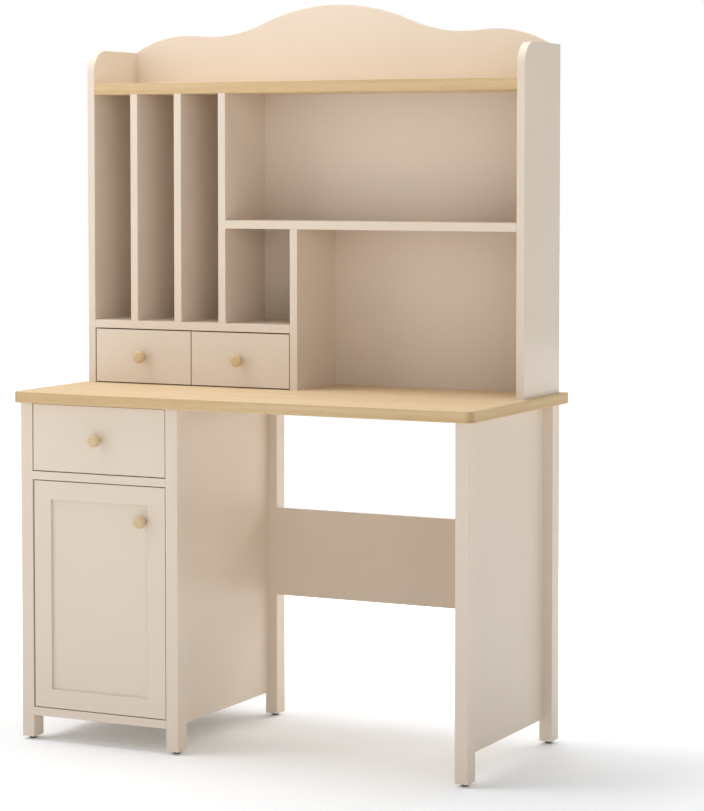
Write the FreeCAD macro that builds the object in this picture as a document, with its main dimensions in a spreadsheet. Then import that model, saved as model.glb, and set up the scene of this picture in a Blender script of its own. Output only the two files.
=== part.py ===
import FreeCAD, Part
import Sketcher
import operator
import os
from types import SimpleNamespace

# A student desk with a hutch: a pedestal with a drawer and a cupboard on the left, a leg frame on the
# right, a wood-faced top, and a hutch with slots, bays, two small drawers and a wavy crest.
# X runs to the right, Y to the back and Z up. The origin is on the floor, under the middle of the desk.

SIZES = {
    # Desktop
    "desk_width": 1090.0,
    "desk_depth": 515.0,
    "desk_height": 762.0,
    "desktop_thickness": 24.0,
    "desktop_corner": 18.0,
    "desktop_easing": 1.5,
    "side_overhang": 14.0,
    "front_overhang": 13.0,
    "back_overhang": 15.0,
    "board_easing": 0.8,
    # Posts, legs and glides
    "post_width": 29.0,
    "post_depth": 38.0,
    "glide_height": 7.0,
    "glide_diameter": 16.5,
    "glide_sole_diameter": 13.0,
    "glide_sole_height": 2.0,
    "glide_stem_diameter": 8.0,
    "glide_stem_length": 14.0,
    # Pedestal
    "pedestal_width": 391.0,
    "panel_thickness": 8.0,
    "panel_tongue": 4.0,
    "panel_floor_gap": 55.0,
    "rail_height": 18.0,
    "rail_thickness": 18.0,
    "drawer_rail_depth": 45.0,
    "pedestal_floor_thickness": 16.0,
    "back_panel_setback": 15.0,
    "stretcher_thickness": 18.0,
    "stretcher_depth": 60.0,
    "stretcher_gap": 4.0,
    "shelf_level": 310.0,
    "shelf_thickness": 16.0,
    "shelf_setback": 62.0,
    "shelf_clearance": 0.8,
    "shelf_pin_diameter": 5.0,
    "shelf_pin_depth": 5.0,
    "shelf_pin_reach": 8.0,
    "shelf_pin_width": 9.0,
    "shelf_pin_inset": 45.0,
    # Board behind the knees
    "modesty_drop": 261.0,
    "modesty_height": 197.0,
    "modesty_thickness": 16.0,
    "modesty_setback": 1.0,
    # Drawer front and door
    "drawer_front_height": 144.5,
    "front_thickness": 18.0,
    "front_gap": 2.0,
    "hinge_gap": 2.5,
    "front_setback": 1.0,
    "door_recess": 5.0,
    "door_panel_thickness": 8.0,
    "door_panel_lap": 3.5,
    "door_rail": 40.0,
    "door_hinge_round": 3.0,
    "door_knob_margin": 12.0,
    "door_knob_drop": 35.0,
    # Cup hinges
    "hinge_offset": 3.5,
    "hinge_margin": 80.0,
    "cup_diameter": 35.0,
    "cup_depth": 12.0,
    "cup_wall": 1.0,
    "cup_margin": 4.0,
    "cup_web": 1.0,
    "flange_thickness": 1.5,
    "flange_width": 30.0,
    "flange_height": 56.0,
    "hinge_pin_diameter": 4.0,
    "hinge_pin_play": 0.05,
    "knuckle_diameter": 6.4,
    "knuckle_clearance": 0.8,
    "arm_metal": 2.0,
    "arm_height": 12.0,
    "arm_reach": 11.0,
    "arm_back": 23.0,
    "arm_seat_length": 34.0,
    "arm_seat_thickness": 6.0,
    "plate_metal": 3.0,
    "plate_start": 10.0,
    "plate_length": 50.0,
    "plate_height": 40.0,
    "plate_screw_inset": 6.0,
    # Magnetic door catch
    "catch_width": 42.0,
    "catch_height": 14.0,
    "catch_depth": 16.0,
    "catch_inset": 22.0,
    "strike_metal": 2.0,
    "strike_height": 9.0,
    "strike_margin": 2.0,
    # Desk drawer and its slides
    "drawer_side_thickness": 12.0,
    "drawer_box_lift": 13.0,
    "drawer_top_clearance": 15.5,
    "drawer_rear_clearance": 45.0,
    "drawer_bottom_thickness": 4.0,
    "drawer_bottom_lift": 10.0,
    "drawer_groove": 5.0,
    "slide_width": 12.7,
    "slide_height": 45.0,
    "slide_rear_clearance": 53.0,
    "slide_metal": 1.2,
    "slide_play": 0.5,
    "slide_lip_gap": 2.0,
    "slide_start": 2.0,
    "slide_screw_inset": 8.0,
    # Hutch
    "hutch_inset": 12.0,
    "hutch_depth": 197.0,
    "hutch_back_gap": 23.0,
    "hutch_side_height": 749.0,
    "hutch_board": 18.0,
    "hutch_corner": 50.0,
    "hutch_back_thickness": 12.0,
    "top_shelf_drop": 75.5,
    "top_shelf_thickness": 25.0,
    "middle_shelf_level": 351.0,
    "slot_width": 94.0,
    "deck_level": 124.0,
    "drawer_bank_width": 496.0,
    "crest_peak_rise": 98.0,
    "crest_dip_rise": 33.3,
    "crest_hump_rise": 37.0,
    "crest_dip_offset": 312.0,
    "crest_hump_offset": 385.0,
    # Small drawers of the hutch
    "small_front_thickness": 16.0,
    "small_gap": 2.5,
    "partition_thickness": 12.0,
    "small_side_thickness": 12.0,
    "small_side_gap": 2.0,
    "small_box_lift": 8.0,
    "small_top_clearance": 21.0,
    "small_rear_clearance": 10.0,
    "small_bottom_thickness": 3.0,
    "small_bottom_lift": 6.0,
    "small_groove": 5.0,
    "runner_reach": 7.0,
    "runner_height": 8.0,
    "runner_lift": 40.0,
    "runner_play": 0.5,
    # Turned knobs
    "knob_length": 25.0,
    "knob_diameter": 27.0,
    "knob_foot_diameter": 14.0,
    "knob_foot_height": 2.5,
    "knob_neck_diameter": 11.0,
    "knob_neck_height": 8.0,
    "knob_head_height": 14.0,
    "knob_round": 5.0,
    "knob_screw_diameter": 4.0,
    "knob_screw_head_diameter": 8.0,
    "knob_screw_head_height": 2.2,
    "knob_screw_bite": 12.0,
    # Dowels, cam locks, brackets and screws
    "dowel_diameter": 8.0,
    "dowel_length": 24.0,
    "cam_diameter": 15.0,
    "cam_height": 12.0,
    "cam_inset": 24.0,
    "cam_slot_width": 2.0,
    "cam_slot_depth": 2.5,
    "cam_bolt_diameter": 5.0,
    "cam_bolt_bite": 10.0,
    "bracket_leg": 30.0,
    "bracket_width": 20.0,
    "bracket_metal": 2.0,
    "screw_diameter": 3.5,
    "screw_head_diameter": 7.0,
    "screw_head_height": 2.0,
    "screw_bite": 12.0,
    "panel_screw_bite": 6.0,
}

# Where fasteners sit, as shares of the length of the joint that they hold
END_SHARES = (0.22, 0.78)
MIDDLE_SHARE = 0.5
CAM_BOLT_SHARE = 0.6
# Where the crest's hollows turn into its humps, as shares of the way from one to the other
PEAK_TURN_SHARE = 0.41
HUMP_TURN_SHARE = 0.5

SAME_PLACE = 1e-6
FULL_TURN = 360.0
UP = FreeCAD.Vector(0, 0, 1)
DIRECTIONS = {
    "+x": FreeCAD.Vector(1, 0, 0),
    "-x": FreeCAD.Vector(-1, 0, 0),
    "+y": FreeCAD.Vector(0, 1, 0),
    "-y": FreeCAD.Vector(0, -1, 0),
    "+z": UP,
    "-z": FreeCAD.Vector(0, 0, -1),
}
OPERATIONS = {"+": operator.add, "-": operator.sub, "*": operator.mul, "/": operator.truediv}

# The sheet of driving sizes
doc = FreeCAD.newDocument("student_desk_with_hutch")
sheet = doc.addObject("Spreadsheet::Sheet", "Sizes")
for row, (name, length) in enumerate(SIZES.items(), start=1):
    sheet.set(f"A{row}", name)
    sheet.set(f"B{row}", str(length))
    sheet.setAlias(f"B{row}", name)
doc.recompute()


# Sums of sizes that keep their sheet expression
class Size:
    """A length with the sheet expression that gives it and its present value."""

    def __init__(self, text, value):
        self.text = text
        self.value = value

    def __add__(self, other):
        return combined(self, "+", other)

    def __radd__(self, other):
        return combined(other, "+", self)

    def __sub__(self, other):
        return combined(self, "-", other)

    def __rsub__(self, other):
        return combined(other, "-", self)

    def __mul__(self, other):
        return combined(self, "*", other)

    def __rmul__(self, other):
        return combined(other, "*", self)

    def __truediv__(self, other):
        return combined(self, "/", other)


def as_size(length):
    return length if isinstance(length, Size) else Size(str(length), float(length))


def combined(first, sign, second):
    first = as_size(first)
    second = as_size(second)
    return Size(f"({first.text} {sign} {second.text})", OPERATIONS[sign](first.value, second.value))


size = SimpleNamespace(**{name: Size(f"Sizes.{name}", float(sheet.get(name))) for name in SIZES})


# Building blocks
def bind(item, prop, length):
    item.setExpression(prop, as_size(length).text)


def place(item, x, y, z):
    bind(item, "Placement.Base.x", x)
    bind(item, "Placement.Base.y", y)
    bind(item, "Placement.Base.z", z)


def block(label, xs, ys, zs):
    """A box between two planes along each axis."""
    item = doc.addObject("Part::Box", label)
    item.Label = label
    bind(item, "Length", xs[1] - xs[0])
    bind(item, "Width", ys[1] - ys[0])
    bind(item, "Height", zs[1] - zs[0])
    place(item, xs[0], ys[0], zs[0])
    return item


def rod(label, start, heading, diameter, length):
    """A round bar from a point, along one of the six directions."""
    item = doc.addObject("Part::Cylinder", label)
    item.Label = label
    item.Placement = FreeCAD.Placement(FreeCAD.Vector(), FreeCAD.Rotation(UP, DIRECTIONS[heading]))
    bind(item, "Radius", diameter / 2)
    bind(item, "Height", length)
    place(item, *start)
    return item


def group(label, *pieces):
    item = doc.addObject("Part::Compound", label)
    item.Label = label
    item.Links = list(pieces)
    return item


def fused(label, *pieces):
    item = doc.addObject("Part::MultiFuse", label)
    item.Label = label
    item.Shapes = list(pieces)
    return item


def cut(label, base, *tools):
    item = doc.addObject("Part::Cut", label)
    item.Label = label
    item.Base = base
    item.Tool = tools[0] if len(tools) == 1 else group(f"{label}_tools", *tools)
    return item


def rounded(label, base, radius, wanted):
    """The base with a rounded edge wherever the test called wanted says so."""
    doc.recompute()
    item = doc.addObject("Part::Fillet", label)
    item.Label = label
    item.Base = base
    edges = enumerate(base.Shape.Edges, start=1)
    item.Edges = [(index, radius.value, radius.value) for index, edge in edges if wanted(edge)]
    return item


def along(axis):
    """A test for straight edges along one axis."""
    def wanted(edge):
        run = edge.valueAt(edge.LastParameter) - edge.valueAt(edge.FirstParameter)
        return abs(abs(run.dot(DIRECTIONS[axis])) - edge.Length) < SAME_PLACE
    return wanted


def on_plane(axis, level):
    """A test for edges that lie in a plane across one axis."""
    def wanted(edge):
        ends = [edge.valueAt(edge.FirstParameter), edge.valueAt(edge.LastParameter)]
        return all(abs(end.dot(DIRECTIONS[axis]) - level.value) < SAME_PLACE for end in ends)
    return wanted


def eased(label, base, axis):
    """A board whose long edges along one axis are eased, as painted boards are."""
    return rounded(label, base, size.board_easing, along(axis))


def eased_all_round(label, base):
    return rounded(label, base, size.board_easing, lambda edge: True)


def middle(span):
    return (span[0] + span[1]) / 2


def part_way(span, share):
    return span[0] + (span[1] - span[0]) * share


def from_wall(wall, heading, near, far):
    """The span from near to far, measured from a wall to the right (+x) or to the left (-x)."""
    return (wall + near, wall + far) if heading == "+x" else (wall - far, wall - near)


def hold(sketch, kind, line, length, axis_line):
    """Holds the start of a sketch line at a length from the sketch's origin, or on its axis at zero."""
    if as_size(length).value == 0:
        sketch.addConstraint(Sketcher.Constraint("PointOnObject", line, 1, axis_line))
    else:
        index = sketch.addConstraint(Sketcher.Constraint(kind, -1, 1, line, 1, length.value))
        sketch.setExpression(f"Constraints[{index}]", length.text)


def turned(label, outline, start, heading):
    """A turned piece: its outline is a list of (radius, height), closed along the axis."""
    body = doc.addObject("PartDesign::Body", label)
    body.Label = label
    sketch = body.newObject("Sketcher::SketchObject", f"{label}_outline")
    plane = [item for item in body.Origin.OriginFeatures if item.Role == "XZ_Plane"][0]
    sketch.AttachmentSupport = [(plane, "")]
    sketch.MapMode = "FlatFace"
    corners = [FreeCAD.Vector(as_size(radius).value, as_size(height).value, 0) for radius, height in outline]
    sketch.addGeometry([Part.LineSegment(a, b) for a, b in zip(corners, corners[1:] + corners[:1])])
    for line in range(len(corners)):
        following = (line + 1) % len(corners)
        sketch.addConstraint(Sketcher.Constraint("Coincident", line, 2, following, 1))
    for line, (radius, height) in enumerate(outline):
        hold(sketch, "DistanceX", line, radius, -2)
        hold(sketch, "DistanceY", line, height, -1)
    turn = body.newObject("PartDesign::Revolution", f"{label}_turn")
    turn.Profile = sketch
    turn.ReferenceAxis = (sketch, ["V_Axis"])
    turn.Angle = FULL_TURN
    body.Placement = FreeCAD.Placement(FreeCAD.Vector(), FreeCAD.Rotation(UP, DIRECTIONS[heading]))
    place(body, *start)
    return body


# Main planes of the desk
knob_reach = size.knob_length - size.front_setback - size.front_overhang
left = 0 - size.desk_width / 2
right = size.desk_width / 2
front = 0 - (size.desk_depth - knob_reach) / 2
back = front + size.desk_depth
top = size.desk_height
under = size.desk_height - size.desktop_thickness
leg_front = front + size.front_overhang
leg_back = back - size.back_overhang
post_rear = leg_front + size.post_depth
rear_post_front = leg_back - size.post_depth
pedestal_left = left + size.side_overhang
pedestal_right = pedestal_left + size.pedestal_width
inside_left = pedestal_left + size.post_width
inside_right = pedestal_right - size.post_width
frame_right = right - size.side_overhang
frame_inside = frame_right - size.post_width
inside = (inside_left, inside_right)
back_panel_front = rear_post_front + size.back_panel_setback
panel_height = (size.panel_floor_gap, under)
panel_run = (post_rear - size.panel_tongue, rear_post_front + size.panel_tongue)
front_posts = (leg_front, post_rear)
rear_posts = (rear_post_front, leg_back)
post_height = (size.glide_height, under)
rail_top = size.panel_floor_gap + size.rail_height
drawer_high = (under - size.front_gap - size.drawer_front_height, under - size.front_gap)
drawer_rail_top = drawer_high[0] - size.front_gap
drawer_rail_level = drawer_rail_top - size.rail_height
front_face = leg_front + size.front_setback
front_rear = front_face + size.front_thickness

# Main planes of the hutch
hutch_left = left + size.hutch_inset
hutch_right = right - size.hutch_inset
hutch_back_plane = back - size.hutch_back_gap
hutch_front = hutch_back_plane - size.hutch_depth
hutch_back_front = hutch_back_plane - size.hutch_back_thickness
hutch_run = (hutch_front, hutch_back_front)
bay_left = hutch_left + size.hutch_board
bay_right = hutch_right - size.hutch_board
side_height = (top, top + size.hutch_side_height)
top_shelf_top = side_height[1] - size.top_shelf_drop
top_shelf = (top_shelf_top - size.top_shelf_thickness, top_shelf_top)
middle_shelf = (top + size.middle_shelf_level, top + size.middle_shelf_level + size.hutch_board)
deck = (top + size.deck_level, top + size.deck_level + size.hutch_board)
divider = (bay_left + size.drawer_bank_width, bay_left + size.drawer_bank_width + size.hutch_board)
slot_pitch = size.slot_width + size.hutch_board
slot_dividers = [(bay_left + slot_pitch * count - size.hutch_board, bay_left + slot_pitch * count)
                 for count in (1, 2, 3)]
last_slot_divider = slot_dividers[-1]


# Dowels
def dowel(label, centre, heading):
    """A dowel that lies half in each of the two boards that meet at its centre."""
    start = list(centre)
    index = "xyz".index(heading[1])
    start[index] = centre[index] - size.dowel_length / 2
    return rod(label, start, heading, size.dowel_diameter, size.dowel_length)


post_plan = {
    "front_left": ((pedestal_left, inside_left), front_posts),
    "front_right": ((inside_right, pedestal_right), front_posts),
    "rear_left": ((pedestal_left, inside_left), rear_posts),
    "rear_right": ((inside_right, pedestal_right), rear_posts),
    "leg_front": ((frame_inside, frame_right), front_posts),
    "leg_rear": ((frame_inside, frame_right), rear_posts),
}
modesty_run = (rear_post_front + size.modesty_setback,
               rear_post_front + size.modesty_setback + size.modesty_thickness)
# The modesty dowels pass behind the tongue of the leg frame's panel
modesty_dowel_depth = modesty_run[0] + size.panel_tongue + size.dowel_diameter / 2
modesty_top = under - size.modesty_drop
modesty_height = (modesty_top - size.modesty_height, modesty_top)
rail_middle = leg_front + size.rail_thickness / 2

base_dowels = []
for name, (xs, ys) in post_plan.items():
    base_dowels.append(dowel(f"dowel_{name}", (middle(xs), middle(ys), under), "+z"))
for level in (size.panel_floor_gap + size.rail_height / 2, drawer_rail_level + size.rail_height / 2):
    for end in inside:
        base_dowels.append(dowel("dowel_rail", (end, rail_middle, level), "+x"))
for end in (pedestal_right, frame_inside):
    for share in END_SHARES:
        centre = (end, modesty_dowel_depth, part_way(modesty_height, share))
        base_dowels.append(dowel("dowel_modesty", centre, "+x"))

hutch_dowels = []
for share in END_SHARES:
    depth = part_way(hutch_run, share)
    for board in ((hutch_left, bay_left), (bay_right, hutch_right), divider):
        hutch_dowels.append(dowel("dowel_stand", (middle(board), depth, top), "+z"))
    for end, level in ((bay_left, top_shelf), (bay_right, top_shelf), (bay_right, middle_shelf),
                       (last_slot_divider[1], middle_shelf), (bay_left, deck), (divider[0], deck)):
        hutch_dowels.append(dowel("dowel_shelf", (end, depth, middle(level)), "+x"))
    for board in slot_dividers:
        for level in (deck[1], top_shelf[0]):
            hutch_dowels.append(dowel("dowel_slot", (middle(board), depth, level), "+z"))
    hutch_dowels.append(dowel("dowel_divider", (middle(divider), depth, middle_shelf[0]), "+z"))
base_dowel_group = group("base_dowels", *base_dowels)
hutch_dowel_group = group("hutch_dowels", *hutch_dowels)
assembly_dowels = group("assembly_dowels", base_dowel_group, hutch_dowel_group)


# Cam locks
def cam_lock(label, end, heading, depth, underside):
    """A cam let into a shelf from below, and its bolt through the shelf's end into the next board."""
    centre = end + size.cam_inset if heading == "-x" else end - size.cam_inset
    cam = rod(f"{label}_disc", (centre, depth, underside), "+z", size.cam_diameter, size.cam_height)
    reach = size.cam_diameter / 2
    half_slot = size.cam_slot_width / 2
    slot_height = (underside - size.cam_slot_depth, underside + size.cam_slot_depth)
    arm_x = block(f"{label}_slot_x", (centre - reach, centre + reach),
                  (depth - half_slot, depth + half_slot), slot_height)
    arm_y = block(f"{label}_slot_y", (centre - half_slot, centre + half_slot),
                  (depth - reach, depth + reach), slot_height)
    disc = cut(f"{label}_cam", cam, fused(f"{label}_slots", arm_x, arm_y))
    level = underside + size.cam_height * CAM_BOLT_SHARE
    stem = rod(f"{label}_stem", (centre, depth, level), heading, size.cam_bolt_diameter,
               size.cam_inset + size.cam_bolt_bite)
    bolt = cut(f"{label}_bolt", stem, cam)
    return fused(f"{label}_bore", cam, stem), disc, bolt


cam_bores = []
cam_pieces = []
cam_depth = part_way(hutch_run, MIDDLE_SHARE)
for name, end, heading, shelf in (("top_left", bay_left, "-x", top_shelf),
                                  ("top_right", bay_right, "+x", top_shelf),
                                  ("middle_left", last_slot_divider[1], "-x", middle_shelf),
                                  ("middle_right", bay_right, "+x", middle_shelf),
                                  ("deck_left", bay_left, "-x", deck),
                                  ("deck_right", divider[0], "+x", deck)):
    bore, disc, bolt = cam_lock(f"cam_{name}", end, heading, cam_depth, shelf[0])
    cam_bores.append(bore)
    cam_pieces += [disc, bolt]
cam_bore_group = group("cam_bores", *cam_bores)
cam_locks = group("cam_locks", *cam_pieces)

# Glides under the posts and legs
glide_outline = [
    (0, 0),
    (size.glide_sole_diameter / 2, 0),
    (size.glide_diameter / 2, size.glide_sole_height),
    (size.glide_diameter / 2, size.glide_height),
    (size.glide_stem_diameter / 2, size.glide_height),
    (size.glide_stem_diameter / 2, size.glide_height + size.glide_stem_length),
    (0, size.glide_height + size.glide_stem_length),
]
leg_glides = group("leg_glides", *[turned(f"glide_{name}", glide_outline, (middle(xs), middle(ys), 0), "+z")
                                   for name, (xs, ys) in post_plan.items()])

# Cupboard shelf and the pins that carry it
shelf_run = (leg_front + size.shelf_setback, back_panel_front - size.shelf_clearance)
pin_pieces = []
for wall, heading in ((inside_left, "+x"), (inside_right, "-x")):
    for depth in (shelf_run[0] + size.shelf_pin_inset, shelf_run[1] - size.shelf_pin_inset):
        bored = from_wall(wall, heading, 0 - size.shelf_pin_depth, size.shelf_pin_reach)
        pin_level = size.shelf_level - size.shelf_pin_diameter / 2
        stem = rod("shelf_pin_stem", (bored[0], depth, pin_level), "+x", size.shelf_pin_diameter,
                   bored[1] - bored[0])
        pad = block("shelf_pin_pad", from_wall(wall, heading, 0, size.shelf_pin_reach),
                    (depth - size.shelf_pin_width / 2, depth + size.shelf_pin_width / 2),
                    (pin_level, size.shelf_level))
        pin_pieces.append(fused("shelf_pin", stem, pad))
shelf_pins = group("shelf_pins", *pin_pieces)
cupboard_shelf = eased("cupboard_shelf",
                       block("cupboard_shelf_blank",
                             (inside_left + size.shelf_clearance, inside_right - size.shelf_clearance),
                             shelf_run, (size.shelf_level, size.shelf_level + size.shelf_thickness)), "+x")


# Screws
def screw(label, head, heading, bite, through):
    """A screw whose head stands on a face at head, through one piece and biting into the next."""
    index = "xyz".index(heading[1])
    start = list(head)
    if heading[0] == "+":
        start[index] = head[index] - size.screw_head_height
    else:
        start[index] = head[index] + size.screw_head_height
    cap = rod(f"{label}_head", start, heading, size.screw_head_diameter, size.screw_head_height)
    shank = rod(f"{label}_shank", head, heading, size.screw_diameter, through + bite)
    return fused(label, cap, shank)


stretcher_height = (under - size.stretcher_thickness, under)
front_stretcher = (front_rear + size.stretcher_gap, front_rear + size.stretcher_gap + size.stretcher_depth)
rear_stretcher = (back_panel_front - size.stretcher_depth, back_panel_front)
screw_pieces = []
for run in (front_stretcher, rear_stretcher):
    for share in END_SHARES:
        head = (part_way(inside, share), middle(run), stretcher_height[0])
        screw_pieces.append(screw("stretcher_screw", head, "+z", size.screw_bite, size.stretcher_thickness))

# Steel angles that tie the right leg frame to the top
bracket_pieces = []
for share in END_SHARES:
    depth = part_way(panel_run, share)
    span = (depth - size.bracket_width / 2, depth + size.bracket_width / 2)
    upright = block("bracket_upright", (frame_inside - size.bracket_metal, frame_inside), span,
                    (under - size.bracket_leg, under))
    flat = block("bracket_flat", (frame_inside - size.bracket_leg, frame_inside), span,
                 (under - size.bracket_metal, under))
    bracket_pieces.append(fused("bracket", upright, flat))
    reach = size.bracket_leg * MIDDLE_SHARE
    top_head = (frame_inside - reach, depth, under - size.bracket_metal)
    screw_pieces.append(screw("bracket_top_screw", top_head, "+z", size.screw_bite, size.bracket_metal))
    side_head = (frame_inside - size.bracket_metal, depth, under - reach)
    screw_pieces.append(screw("bracket_side_screw", side_head, "+x", size.panel_screw_bite,
                              size.bracket_metal))
bracket_group = group("bracket_blanks", *bracket_pieces)

# Door, its hinges and its catch
front_wide = (inside_left + size.front_gap, inside_right - size.front_gap)
door_wide = (inside_left + size.hinge_gap, inside_right - size.front_gap)
door_high = (rail_top + size.front_gap, drawer_rail_level - size.front_gap)
cup_x = door_wide[0] + size.cup_margin + size.cup_diameter / 2
pivot_x = cup_x - size.hinge_offset
door_stile = size.cup_margin + size.cup_diameter + size.cup_web + size.door_panel_lap
cup_floor = front_rear - size.cup_depth
pivot_y = cup_floor + size.cup_wall + size.knuckle_clearance + size.knuckle_diameter / 2
flange_face = front_rear + size.flange_thickness
limb = (pivot_x + size.arm_reach, pivot_x + size.arm_reach + size.arm_metal)
seat_face = inside_left + size.plate_metal
crossing = (pivot_y + size.arm_back, pivot_y + size.arm_back + size.arm_metal)
pin_bore = size.hinge_pin_diameter + size.hinge_pin_play * 2
cup_bores = []
cups = []
pins = []
arms = []
for hinge_level in (door_high[0] + size.hinge_margin, door_high[1] - size.hinge_margin):
    half_arm = size.arm_height / 2
    arm_span = (hinge_level - half_arm, hinge_level + half_arm)
    # The pin spans the cup at the pivot and ends in the cup's wall
    pin_start = hinge_level - size.cup_diameter / 2 + size.cup_wall
    pin = rod("hinge_pin", (pivot_x, pivot_y, pin_start), "+z", size.hinge_pin_diameter,
              size.cup_diameter - size.cup_wall * 2)
    pins.append(pin)
    shell = rod("cup_shell", (cup_x, cup_floor, hinge_level), "+y", size.cup_diameter, size.cup_depth)
    cup_bores.append(shell)
    flange = block("cup_flange", (cup_x - size.flange_width / 2, cup_x + size.flange_width / 2),
                   (front_rear, flange_face),
                   (hinge_level - size.flange_height / 2, hinge_level + size.flange_height / 2))
    hollow = rod("cup_hollow", (cup_x, cup_floor + size.cup_wall, hinge_level), "+y",
                 size.cup_diameter - size.cup_wall * 2, size.cup_depth + size.flange_thickness)
    cups.append(cut("hinge_cup", fused("cup_body", shell, flange), hollow, pin))
    # The arm goes from the knuckle across the cup, out of its mouth and back to the wall
    knuckle = rod("arm_knuckle", (pivot_x, pivot_y, arm_span[0]), "+z", size.knuckle_diameter,
                  size.arm_height)
    half_metal = size.arm_metal / 2
    toe = block("arm_toe", (pivot_x, limb[1]), (pivot_y - half_metal, pivot_y + half_metal), arm_span)
    rise = block("arm_rise", limb, (pivot_y - half_metal, crossing[1]), arm_span)
    bridge = block("arm_bridge", (seat_face, limb[1]), crossing, arm_span)
    seat = block("arm_seat", (seat_face, seat_face + size.arm_seat_thickness),
                 (crossing[0], crossing[0] + size.arm_seat_length), arm_span)
    eye = rod("arm_eye", (pivot_x, pivot_y, arm_span[0]), "+z", pin_bore, size.arm_height)
    arms.append(cut("hinge_arm", fused("arm_body", knuckle, toe, rise, bridge, seat), eye))
    plate_run = (pivot_y + size.plate_start, pivot_y + size.plate_start + size.plate_length)
    plate_span = (hinge_level - size.plate_height / 2, hinge_level + size.plate_height / 2)
    plate = block("hinge_plate", (inside_left, seat_face), plate_run, plate_span)
    plate_screws = [screw("plate_screw", (seat_face, plate_run[0] + size.plate_screw_inset, level), "-x",
                          size.screw_bite, size.plate_metal)
                    for level in (plate_span[0] + size.plate_screw_inset,
                                  plate_span[1] - size.plate_screw_inset)]
    screw_pieces += plate_screws
    arms.append(cut("hinge_plate_bored", plate, group("plate_screws", *plate_screws)))
hinge_cups = group("hinge_cups", *cups)
hinge_pins = group("hinge_pins", *pins)
hinge_arms = group("hinge_arms", *arms)

catch_wide = (inside_right - size.catch_inset - size.catch_width, inside_right - size.catch_inset)
catch_run = (front_rear + size.strike_metal, front_rear + size.strike_metal + size.catch_depth)
catch_high = (drawer_rail_level - size.catch_height, drawer_rail_level)
catch_screws = [screw("catch_screw", (part_way(catch_wide, share), middle(catch_run), catch_high[0]), "+z",
                      size.screw_bite, size.catch_height) for share in END_SHARES]
screw_pieces += catch_screws
door_catch = cut("door_catch", block("door_catch_blank", catch_wide, catch_run, catch_high),
                 group("catch_screws", *catch_screws))
strike_high = (catch_high[0] + size.strike_margin, catch_high[0] + size.strike_margin + size.strike_height)
door_strike = block("door_strike", catch_wide, (front_rear, catch_run[0]), strike_high)


def inner(span, margin):
    return (span[0] + margin, span[1] - margin)


panel_front = front_face + size.door_recess
door_blank = block("door_blank", door_wide, (front_face, front_rear), door_high)
hinge_edge = [on_plane("+x", door_wide[0]), on_plane("+y", front_face)]
door_rounded = rounded("door_rounded", door_blank, size.door_hinge_round,
                       lambda edge: all(test(edge) for test in hinge_edge))
opening = block("door_opening", inner(door_wide, door_stile), (front_face, front_rear),
                inner(door_high, size.door_rail))
panel_wide = inner(door_wide, door_stile - size.door_panel_lap)
panel_high = inner(door_high, size.door_rail - size.door_panel_lap)
rebate = block("door_rebate", panel_wide, (panel_front, front_rear), panel_high)
door_open = cut("door_open", door_rounded, fused("door_cut_out", opening, rebate))
stiles = (door_wide[0] + door_stile, door_wide[1] - door_stile)
at_face = on_plane("+y", front_face)


def round_opening(edge):
    """True for the front edges of the door frame's opening."""
    inside_stiles = stiles[0].value - SAME_PLACE < edge.CenterOfMass.x < stiles[1].value + SAME_PLACE
    rails = inner(door_high, size.door_rail)
    inside_rails = rails[0].value - SAME_PLACE < edge.CenterOfMass.z < rails[1].value + SAME_PLACE
    return at_face(edge) and inside_stiles and inside_rails


door_frame = cut("door_frame", rounded("door_eased", door_open, size.board_easing, round_opening),
                 group("cup_bores", *cup_bores))
door_panel_blank = block("door_panel_blank", panel_wide,
                         (panel_front, panel_front + size.door_panel_thickness), panel_high)


# Knobs and the screws that hold them
knob_outline = [
    (0, 0),
    (size.knob_foot_diameter / 2, 0),
    (size.knob_foot_diameter / 2, size.knob_foot_height),
    (size.knob_neck_diameter / 2, size.knob_neck_height),
    (size.knob_diameter / 2, size.knob_length - size.knob_head_height),
    (size.knob_diameter / 2, size.knob_length),
    (0, size.knob_length),
]


def knob(label, x, face, level, thickness):
    """A turned knob on a face, and its screw from behind a board of the given thickness."""
    body = turned(f"{label}_body", knob_outline, (x, face, level), "-y")
    doc.recompute()
    turn = body.Tip
    rim = size.knob_diameter.value / 2
    rims = [f"Edge{index}" for index, edge in enumerate(turn.Shape.Edges, start=1)
            if edge.Curve.TypeId == "Part::GeomCircle" and abs(edge.Curve.Radius - rim) < SAME_PLACE]
    rounding = body.newObject("PartDesign::Fillet", f"{label}_rounding")
    rounding.Base = (turn, rims)
    bind(rounding, "Radius", size.knob_round)
    body.Tip = rounding
    shank = rod(f"{label}_shank", (x, face + thickness, level), "-y", size.knob_screw_diameter,
                thickness + size.knob_screw_bite)
    cap = rod(f"{label}_cap", (x, face + thickness + size.knob_screw_head_height, level), "-y",
              size.knob_screw_head_diameter, size.knob_screw_head_height)
    bolt = fused(f"{label}_screw", shank, cap)
    return cut(label, body, bolt), bolt


door_knob_x = door_wide[1] - door_stile - size.door_knob_margin
door_knob_level = door_high[1] - size.door_rail - size.door_knob_drop
door_knob, door_knob_screw = knob("door_knob", door_knob_x, panel_front, door_knob_level,
                                  size.door_panel_thickness)
door_panel = cut("door_panel", door_panel_blank, door_knob_screw)

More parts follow.
